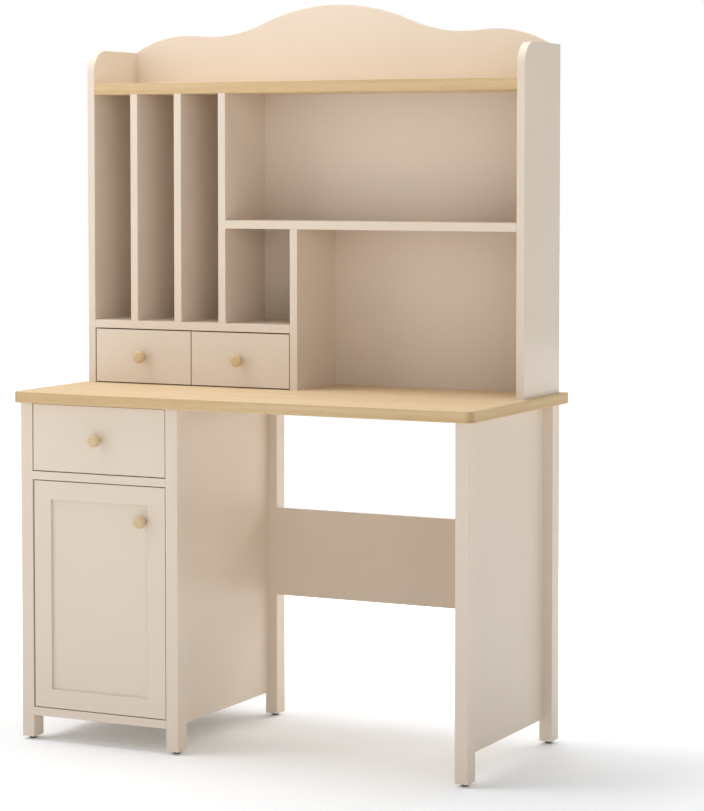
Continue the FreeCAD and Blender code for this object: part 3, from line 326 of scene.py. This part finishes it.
turned, net, shader = new_finish("turned_lacquered_beech", IOR=1.5)
place = add(net, "ShaderNodeTexCoord").outputs["Object"]
tipped = add(net, "ShaderNodeMapping", {"Vector": place, "Rotation": (0, RING_LEAN, 0)})
rings = add(net, "ShaderNodeTexWave", {"Vector": tipped.outputs[0], "Scale": WAVE_LENGTH / RING,
                                       "Distortion": 1.6, "Detail": 2.0, "Detail Scale": 0.6})
longways = add(net, "ShaderNodeMapping", {"Vector": place,
                                          "Scale": (1 / FLECK, 1 / FLECK_RUN, 1 / FLECK)})
flecks = add(net, "ShaderNodeTexNoise", {"Vector": longways.outputs[0], "Scale": 1.0, "Detail": 2.0})
dash = add(net, "ShaderNodeMapRange", {"Value": flecks.outputs["Fac"], "From Min": 0.55,
                                       "From Max": 0.72, "To Max": 0.35})
ringed = add(net, "ShaderNodeMix", {0: rings.outputs["Fac"], 6: linear("#D3BC93"),
                                    7: linear("#C6AB80")}, data_type="RGBA")
flecked = add(net, "ShaderNodeMix", {0: dash.outputs[0], 6: ringed.outputs[2],
                                     7: linear("#9E7B49")}, data_type="RGBA")
polish = add(net, "ShaderNodeMapRange", {"Value": flecks.outputs["Fac"], "To Min": 0.34, "To Max": 0.48})
feed(net, shader, Base_Color=flecked.outputs[2], Roughness=polish.outputs[0])
finishes["turned_wood"] = turned
print("knob rings every", RING / MM, "mm")

# %% [markdown]
# Drawer sides and backs are planed birch left bare, paler and plainer than the top. Their grain runs
# along each board: along y on the sides, and along x on the backs, told apart by which way a face
# looks.

# %% planed birch
BIRCH_STREAK, BIRCH_RUN = 14 * MM, 300 * MM

birch, net, shader = new_finish("planed_bare_birch", IOR=1.5)
where = add(net, "ShaderNodeTexCoord")
spot = add(net, "ShaderNodeSeparateXYZ", {0: where.outputs["Object"]})
swapped = add(net, "ShaderNodeCombineXYZ", {"X": spot.outputs["Y"], "Y": spot.outputs["X"],
                                            "Z": spot.outputs["Z"]})
facing = add(net, "ShaderNodeSeparateXYZ", {0: where.outputs["Normal"]})
turn_to = add(net, "ShaderNodeMath", {0: facing.outputs["Y"]}, operation="ABSOLUTE")
is_back = add(net, "ShaderNodeMath", {0: turn_to.outputs[0], 1: SQUARE_ON}, operation="GREATER_THAN")
board = add(net, "ShaderNodeMix", {0: is_back.outputs[0], 4: swapped.outputs[0],
                                   5: where.outputs["Object"]}, data_type="VECTOR")
stretched = add(net, "ShaderNodeMapping", {"Vector": board.outputs[1],
                                           "Scale": (1 / BIRCH_RUN, 1 / BIRCH_STREAK, 1 / BIRCH_STREAK)})
grown = add(net, "ShaderNodeTexNoise", {"Vector": stretched.outputs[0], "Scale": 1.0, "Detail": 5.0})
tone = add(net, "ShaderNodeMapRange", {"Value": grown.outputs["Fac"], "From Min": 0.32, "From Max": 0.68})
bare = add(net, "ShaderNodeMix", {0: tone.outputs[0], 6: linear("#E4D2B2"), 7: linear("#D2BB95")},
           data_type="RGBA")
matt = add(net, "ShaderNodeMapRange", {"Value": grown.outputs["Fac"], "To Min": 0.55, "To Max": 0.72})
rise = add(net, "ShaderNodeBump", {"Height": grown.outputs["Fac"], "Strength": 0.2, "Distance": 0.2 * MM})
feed(net, shader, Base_Color=bare.outputs[2], Roughness=matt.outputs[0], Normal=rise.outputs[0])
finishes["drawer_board"] = birch
print("birch streaks", BIRCH_STREAK / MM, "mm wide")

# %% [markdown]
# Drawer bottoms are hardboard: wood fibre pressed hot into a thin brown sheet. The press leaves a
# smooth face with a felt of darker and lighter fibres a few millimetres long, in no direction.

# %% pressed hardboard
FIBRE, CLOUD = 4 * MM, 45 * MM

hardboard, net, shader = new_finish("pressed_hardboard", IOR=1.5)
place = add(net, "ShaderNodeTexCoord").outputs["Object"]
felt = add(net, "ShaderNodeTexNoise", {"Vector": place, "Scale": 1 / FIBRE, "Detail": 6.0,
                                       "Roughness": 0.7, "Distortion": 1.2})
cloud = add(net, "ShaderNodeTexNoise", {"Vector": place, "Scale": 1 / CLOUD, "Detail": 2.0})
fibres = add(net, "ShaderNodeMapRange", {"Value": felt.outputs["Fac"], **MOST_OF_NOISE})
brown = add(net, "ShaderNodeMix", {0: fibres.outputs[0], 6: linear("#C6A67C"), 7: linear("#AD8A5E")},
            data_type="RGBA")
clouded = add(net, "ShaderNodeMix", {0: cloud.outputs["Fac"], 6: brown.outputs[2],
                                     7: linear("#B99A70")}, data_type="RGBA")
pressed = add(net, "ShaderNodeMapRange", {"Value": cloud.outputs["Fac"], "To Min": 0.38, "To Max": 0.55})
fuzz = add(net, "ShaderNodeBump", {"Height": felt.outputs["Fac"], "Strength": 0.15, "Distance": 0.1 * MM})
feed(net, shader, Base_Color=clouded.outputs[2], Roughness=pressed.outputs[0], Normal=fuzz.outputs[0])
finishes["hardboard"] = hardboard
print("hardboard fibres", FIBRE / MM, "mm")

# %% [markdown]
# Dowels and the small drawers' runners are plain beech, cut along the grain and left raw. Beech is
# pinker than birch and is known by its short dark flecks, here drawn 1.4 mm wide and 9 mm long.

# %% raw beech
RAW_FLECK, RAW_RUN = 1.4 * MM, 9 * MM

beech, net, shader = new_finish("sawn_raw_beech", IOR=1.5)
place = add(net, "ShaderNodeTexCoord").outputs["Object"]
longways = add(net, "ShaderNodeMapping", {"Vector": place,
                                          "Scale": (1 / RAW_FLECK, 1 / RAW_RUN, 1 / RAW_FLECK)})
flecks = add(net, "ShaderNodeTexNoise", {"Vector": longways.outputs[0], "Scale": 1.0, "Detail": 2.0})
dash = add(net, "ShaderNodeMapRange", {"Value": flecks.outputs["Fac"], "From Min": 0.5, "From Max": 0.7})
pink = add(net, "ShaderNodeMix", {0: dash.outputs[0], 6: linear("#D0AE82"), 7: linear("#A97F52")},
           data_type="RGBA")
dry = add(net, "ShaderNodeMapRange", {"Value": flecks.outputs["Fac"], "To Min": 0.55, "To Max": 0.7})
feed(net, shader, Base_Color=pink.outputs[2], Roughness=dry.outputs[0])
finishes["beech"] = beech
print("beech flecks", RAW_RUN / MM, "mm long")

# %% [markdown]
# Three bare metals are hidden in the desk: zinc plated steel in the slides and angles, nickel plated
# steel in hinges and screws, and cast zinc in the cam locks. Plating follows the rolled steel below,
# so it shows faint lines along y, the way the strip was drawn; a casting has a fine grain instead.
# One table of values and one net make all three.

# %% plated and cast metals
ROLLED = (1.5 * MM, 60 * MM)
CAST = (1.2 * MM, 1.2 * MM)

for slot, name, bright, dull, smooth, rough, (line, run) in (
        ("zinc_steel", "zinc_plated_rolled_steel", "#D3D6D8", "#BFC3C6", 0.28, 0.44, ROLLED),
        ("nickel_steel", "nickel_plated_steel", "#D8D4CC", "#C8C3B9", 0.16, 0.30, ROLLED),
        ("zinc_cast", "die_cast_zinc", "#B9BABC", "#A3A5A8", 0.38, 0.55, CAST)):
    metal, net, shader = new_finish(name, Metallic=1.0)
    place = add(net, "ShaderNodeTexCoord").outputs["Object"]
    drawn = add(net, "ShaderNodeMapping", {"Vector": place, "Scale": (1 / line, 1 / run, 1 / line)})
    lines = add(net, "ShaderNodeTexNoise", {"Vector": drawn.outputs[0], "Scale": 1.0, "Detail": 3.0})
    plate = add(net, "ShaderNodeMix", {0: lines.outputs["Fac"], 6: linear(bright), 7: linear(dull)},
                data_type="RGBA")
    worn = add(net, "ShaderNodeMapRange", {"Value": lines.outputs["Fac"], **MOST_OF_NOISE,
                                           "To Min": smooth, "To Max": rough})
    feed(net, shader, Base_Color=plate.outputs[2], Roughness=worn.outputs[0])
    finishes[slot] = metal
    print(name, "has lines of", line / MM, "mm")

# %% [markdown]
# Two plastics are moulded: dark polyethylene for the glides under the legs, and white polyamide for
# the door catch. Both come out of a spark eroded mould, so their skin is evenly pebbled and matt. The
# real pebble is about 0.2 mm and is drawn at 0.8 mm.

# %% moulded plastics
PEBBLE = 0.8 * MM

for slot, name, deep, pale, ior in (
        ("dark_plastic", "moulded_dark_polyethylene", "#4F4942", "#605950", 1.51),
        ("white_plastic", "moulded_white_polyamide", "#E4E1DA", "#ECE9E3", 1.53)):
    plastic, net, shader = new_finish(name, IOR=ior)
    place = add(net, "ShaderNodeTexCoord").outputs["Object"]
    pebble = add(net, "ShaderNodeTexNoise", {"Vector": place, "Scale": 1 / PEBBLE, "Detail": 1.0})
    mass = add(net, "ShaderNodeMix", {0: pebble.outputs["Fac"], 6: linear(deep), 7: linear(pale)},
               data_type="RGBA")
    haze = add(net, "ShaderNodeMapRange", {"Value": pebble.outputs["Fac"], "To Min": 0.5, "To Max": 0.65})
    grit = add(net, "ShaderNodeBump", {"Height": pebble.outputs["Fac"], "Strength": 0.2,
                                       "Distance": 0.1 * MM})
    feed(net, shader, Base_Color=mass.outputs[2], Roughness=haze.outputs[0], Normal=grit.outputs[0])
    finishes[slot] = plastic
    print(name, "has a pebble of", PEBBLE / MM, "mm")

# %% [markdown]
# Each solid takes its finish from the slot that the record names for it, so a table from slot to
# nodes dresses the whole frame. The shapes stay as they are: only the material slots change.

# %% dress the frame
WORN_BY = {
    "pale_wood": ["desktop", "hutch_top_shelf"],
    "turned_wood": ["desk_drawer_knob", "door_knob", "left_drawer_knob", "right_drawer_knob"],
    "drawer_board": ["desk_drawer_box", "left_drawer_box", "right_drawer_box"],
    "hardboard": ["desk_drawer_bottom", "left_drawer_bottom", "right_drawer_bottom"],
    "beech": ["assembly_dowels", "small_drawer_runners"],
    "zinc_steel": ["slide_outer_members", "slide_middle_members", "slide_inner_members",
                   "angle_brackets"],
    "nickel_steel": ["hinge_arms", "hinge_cups", "hinge_pins", "door_strike", "carcass_screws",
                     "desk_drawer_knob_screw", "door_knob_screw", "left_drawer_knob_screw",
                     "right_drawer_knob_screw", "shelf_pins"],
    "zinc_cast": ["cam_locks"],
    "dark_plastic": ["leg_glides"],
    "white_plastic": ["door_catch"],
}
slot_of = {node: slot for slot, nodes in WORN_BY.items() for node in nodes}
for name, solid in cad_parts.items():
    finish = finishes[slot_of.get(name, "painted_board")]
    if not solid.material_slots:
        solid.data.materials.append(finish)
    for material_slot in solid.material_slots:
        material_slot.material = finish
print(len(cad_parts) - len(slot_of), "painted nodes,", len(slot_of), "others")

# %% [markdown]
# The knobs, glides and screws are round. A spin modifier could make them, but a turned surface is
# easy to work out: a profile of radius and height is carried once round an axis. The profile is a
# smooth curve through a few points, as a turner's template would be.

# %% a profile and its rings
def smooth_profile(points_mm, steps):
    """A smooth curve through (radius, height) points: each span is the cubic that passes a point in
    the direction from the point before it to the point after it."""
    dots = np.array(points_mm, float) * MM
    ends = np.vstack([2 * dots[0] - dots[1], dots, 2 * dots[-1] - dots[-2]])
    a, b, c, d = (ends[at:len(ends) - 3 + at, None] for at in range(4))
    t = np.linspace(0, 1, steps, endpoint=False)[:, None]
    spans = (b + t * (c - a) / 2 + t ** 2 * (2 * a - 5 * b + 4 * c - d) / 2
             + t ** 3 * (3 * b - a - 3 * c + d) / 2)
    return np.vstack([spans.reshape(-1, 2), dots[-1:]])


def turned_rings(radius, height, angle):
    """Ring after ring of points (r cos a, r sin a, h); r and h may change with the angle too."""
    radius, height, angle = np.broadcast_arrays(radius, height, angle)
    return np.stack([radius * np.cos(angle), radius * np.sin(angle), height], axis=-1)


def full_turn(steps):
    """Angles of equal steps round a circle; the last one stops a step before the first."""
    return np.arange(steps) * 2 * np.pi / steps


print("a profile of 3 points in 4 steps has", len(smooth_profile([(0, 0), (5, 0), (5, 5)], 4)), "points")

# %% [markdown]
# Rings become a closed skin: quads join each ring to the next, and a fan of triangles closes each
# end. The order of the corners is chosen so that every face looks outwards. Another function stands
# copies of a shape at several places with its own axis turned to a heading.

# %% from rings to a skin
def closed_skin(rings):
    """Points, quads and triangles of rings joined in order, with each end closed from its centre."""
    count, around, _ = rings.shape
    number = np.arange(count * around).reshape(count, around)
    onward = np.roll(number, -1, axis=1)
    quads = np.stack([number[:-1], onward[:-1], onward[1:], number[1:]], axis=-1).reshape(-1, 4)
    foot = np.stack([onward[0], number[0], np.full(around, number.size)], axis=-1)
    crown = np.stack([number[-1], onward[-1], np.full(around, number.size + 1)], axis=-1)
    points = np.vstack([rings.reshape(-1, 3), rings[0].mean(axis=0), rings[-1].mean(axis=0)])
    return points, quads, np.vstack([foot, crown])


def stood(skin, places, heading):
    """Copies of a skin: x times a side, plus y times a cross, plus z times the heading, plus a place."""
    points, quads, triangles = skin
    heading = np.array(heading, float)
    side = np.roll(heading, 1)
    turned_points = points @ np.stack([side, np.cross(heading, side), heading])
    return turned_points + np.array(places, float)[:, None], quads, triangles


print("a skin of 2 rings of 8 has", len(closed_skin(np.zeros((2, 8, 3)))[0]), "points with its 2 poles")

# %% [markdown]
# Copies become one Blender object. It rides on its body, takes its finish from its slot and hides the
# solid it stands for. Edges that bend by more than the crease angle stay crisp, and the rest is shaded
# smooth.

# %% from skins to a piece
CREASE = math.radians(38)


def new_piece(name, groups, body, slot, *stands_for):
    """One object of every copy in every group; it wears its slot's finish and hides what it replaces."""
    points, faces, start = [], [], 0
    for copies, quads, triangles in groups:
        first = start + np.arange(len(copies))[:, None, None] * copies.shape[1]
        faces += (quads + first).reshape(-1, 4).tolist() + (triangles + first).reshape(-1, 3).tolist()
        points.append(copies.reshape(-1, 3))
        start += len(points[-1])
    mesh = bpy.data.meshes.new(name)
    mesh.from_pydata(np.vstack(points).tolist(), [], faces)
    mesh.shade_smooth()
    mesh.set_sharp_from_angle(angle=CREASE)
    mesh.materials.append(finishes[slot])
    piece = bpy.data.objects.new(name, mesh)
    scene.collection.objects.link(piece)
    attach(piece, body)
    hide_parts(*stands_for)
    print(name, "has", len(faces), "faces and rides on", body)


print("ready for new pieces")

# %% [markdown]
# A knob is a small spool: a foot against the front, a waist that fingers close round, and a head with
# a soft rim and a flat face. Each one stands on the back of its solid's box, turned to the front, and
# rides on the drawer or door that it opens.

# %% turned knobs
KNOB_PROFILE = [(6.4, 0), (7.0, 0.6), (7.0, 2.2), (6.2, 3.2), (5.5, 5.5), (5.7, 8.0), (7.6, 9.8),
                (11.2, 11.0), (13.1, 13.4), (13.5, 17.0), (13.2, 20.6), (11.4, 23.6), (8.2, 24.8),
                (4.0, 25.0)]
KNOB_STEPS, KNOB_AROUND = 5, 64
TO_FRONT = (0, -1, 0)
OPENED = ("desk_drawer", "door", "left_drawer", "right_drawer")

knob_line = smooth_profile(KNOB_PROFILE, KNOB_STEPS)
knob_skin = closed_skin(turned_rings(knob_line[:, :1], knob_line[:, 1:], full_turn(KNOB_AROUND)))
for opened in OPENED:
    low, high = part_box(opened + "_knob")
    seat = ((low.x + high.x) / 2, high.y, (low.z + high.z) / 2)
    new_piece("turned_" + opened + "_knob", [stood(knob_skin, [seat], TO_FRONT)], opened, "turned_wood",
              opened + "_knob")

# %% [markdown]
# Some nodes hold several solids, such as six glides or eighteen screws. Their places are read from
# the frame: the corners of a solid are joined by its triangles, so a number that spreads along the
# triangles ends up the same all over one solid and different on the next.

# %% separate solids in a node
MICROMETRE_DIGITS = 6


def solids_of(node):
    """The points of each solid. Corners at one place share a number, and the lowest number of each
    triangle spreads to its three corners, again and again until nothing changes."""
    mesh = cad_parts[node].data
    flat, corner = np.empty(len(mesh.vertices) * 3), np.empty(len(mesh.loops), int)
    mesh.vertices.foreach_get("co", flat)
    mesh.loops.foreach_get("vertex_index", corner)
    place, shared = np.unique(flat.reshape(-1, 3).round(MICROMETRE_DIGITS), axis=0, return_inverse=True)
    triangle = shared.ravel()[corner].reshape(-1, 3)
    number, lowest = None, np.arange(len(place))
    while number is None or (lowest != number).any():
        number = lowest
        lowest = number.copy()
        np.minimum.at(lowest, triangle, number[triangle].min(axis=1, keepdims=True))
    return [place[number == one] for one in np.unique(number)]


print("glides:", len(solids_of("leg_glides")), "screws:", len(solids_of("carcass_screws")))

# %% [markdown]
# Under each leg sits a glide, a moulded button on a peg that is knocked into the leg's end. Its sole
# is rounded so that it slides over a rug.

# %% glides
GLIDE_BUTTON = [(5.6, 0), (6.5, 0.5), (7.6, 1.7), (8.25, 3.2), (8.25, 6.2), (7.6, 7.0)]
GLIDE_PEG = [(4.0, 7.0), (4.0, 20.0), (3.2, 21.0)]
GLIDE_STEPS, GLIDE_AROUND = 4, 48
UP, ON_FLOOR = (0, 0, 1), (1, 1, 0)

glide_line = np.vstack([smooth_profile(GLIDE_BUTTON, GLIDE_STEPS), np.array(GLIDE_PEG) * MM])
glide_skin = closed_skin(turned_rings(glide_line[:, :1], glide_line[:, 1:], full_turn(GLIDE_AROUND)))
under_legs = [(solid.min(axis=0) + solid.max(axis=0)) / 2 * ON_FLOOR
              for solid in solids_of("leg_glides")]
new_piece("leg_end_glides", [stood(glide_skin, under_legs, UP)], "desk", "dark_plastic", "leg_glides")

# %% [markdown]
# Every screw has a domed head with a cross for the driver. The outline of the cross is a polar curve:
# at each angle it reaches to the end of the nearest arm or to that arm's flank, whichever is nearer.
# The rings of the head shrink from the round rim to that curve, and from there the skin drops into
# the recess, so one closed surface holds the tip, the shank, the dome and the cross.

# %% a screw with a driver's cross
ARM, ARM_HALF_WIDTH, RECESS_DEEP = 0.55, 0.13, 0.36     # shares of the head's radius
RIM_TALL, TIP = 0.3, 0.3                                # of the head's height and the shank's radius
RIM_TO_CROSS = (0.12, 0.4, 0.7, 1.0)                    # of the way in over the dome
RECESS_WIDE, RECESS_DOWN = (0.9, 0.6), (0.7, 1.0)       # of the cross's reach and of its depth
BETWEEN_ARMS, NEARLY_NONE = 6, 1e-6


def cross_screw(head, tall, shank, long):
    """Rings from the tip up the shank, out to the rim, over a dome that falls with the square of the
    radius, in to the cross and down to its floor. Head and shank are radii."""
    arm, half_width, deep = ARM * head, ARM_HALF_WIDTH * head, RECESS_DEEP * head
    corner = math.atan2(half_width, arm)
    to_next_arm = np.linspace(corner, np.pi / 2 - corner, BETWEEN_ARMS, endpoint=False)
    quarter = np.append([-corner, 0], to_next_arm)
    angle = (np.arange(4)[:, None] * np.pi / 2 + quarter).ravel()
    off_arm = np.abs((angle + np.pi / 4) % (np.pi / 2) - np.pi / 4)
    reach = np.minimum(arm / np.cos(off_arm), half_width / np.maximum(np.sin(off_arm), NEARLY_NONE))
    round_radius = np.array([TIP * shank, shank, shank, head, head])[:, None] + 0 * angle
    round_height = np.array([-long, 2 * shank - long, 0, 0, RIM_TALL * tall])[:, None] + 0 * angle
    dome_radius = head + (reach - head) * np.array(RIM_TO_CROSS)[:, None]
    dome_height = tall * (1 - (1 - RIM_TALL) * (dome_radius / head) ** 2)
    cross_radius = reach * np.array(RECESS_WIDE)[:, None]
    cross_height = tall - deep * np.array(RECESS_DOWN)[:, None] + 0 * angle
    return closed_skin(turned_rings(np.vstack([round_radius, dome_radius, cross_radius]),
                                    np.vstack([round_height, dome_height, cross_height]), angle))


print("one screw has", len(cross_screw(3.5, 2, 1.75, 30)[0]), "points")

# %% [markdown]
# Each plain screw solid says how its finished screw lies: the longest side of its box is the axis, and
# the end whose points are furthest from the axis is the head. The four screws in the drawer slides
# have no head. They are sunk flush so that the slide can pass, and face the middle of the pedestal.

# %% screws
FLUSH_TALL, FLUSH_SHANK = 0.25 * MM, 0.8
SAME_SIZE = 0.1 * MM
pedestal_middle = sum(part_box("desk_drawer_front"), Vector()).x / 2


def finished_screw(solid):
    """A cross screw that fills a plain solid: its head at the wide end, its tip at the other."""
    low, high = solid.min(axis=0), solid.max(axis=0)
    middle, axis = (low + high) / 2, (high - low).argmax()
    depth = solid[:, axis] - middle[axis]
    off_axis = np.linalg.norm(np.delete(solid - middle, axis, axis=1), axis=1)
    half = depth.max()
    front, rear = (off_axis[np.abs(depth - end) < SAME_SIZE].max() for end in (half, -half))
    flush = abs(front - rear) < SAME_SIZE
    facing = np.sign(pedestal_middle - middle[axis]) if flush else np.sign(front - rear)
    head = max(front, rear)
    shank = FLUSH_SHANK * head if flush else min(front, rear)
    tall = FLUSH_TALL if flush else np.ptp(depth[off_axis > (front + rear) / 2])
    heading = facing * np.eye(3)[axis]
    under_head = middle + heading * (half - tall)
    return stood(cross_screw(head, tall, shank, 2 * half - tall), [under_head], heading)


screws_on = {"desk": "carcass_screws", **{opened: opened + "_knob_screw" for opened in OPENED}}
for body, node in screws_on.items():
    new_piece("cross_recess_" + node, [finished_screw(solid) for solid in solids_of(node)], body,
              "nickel_steel", node)
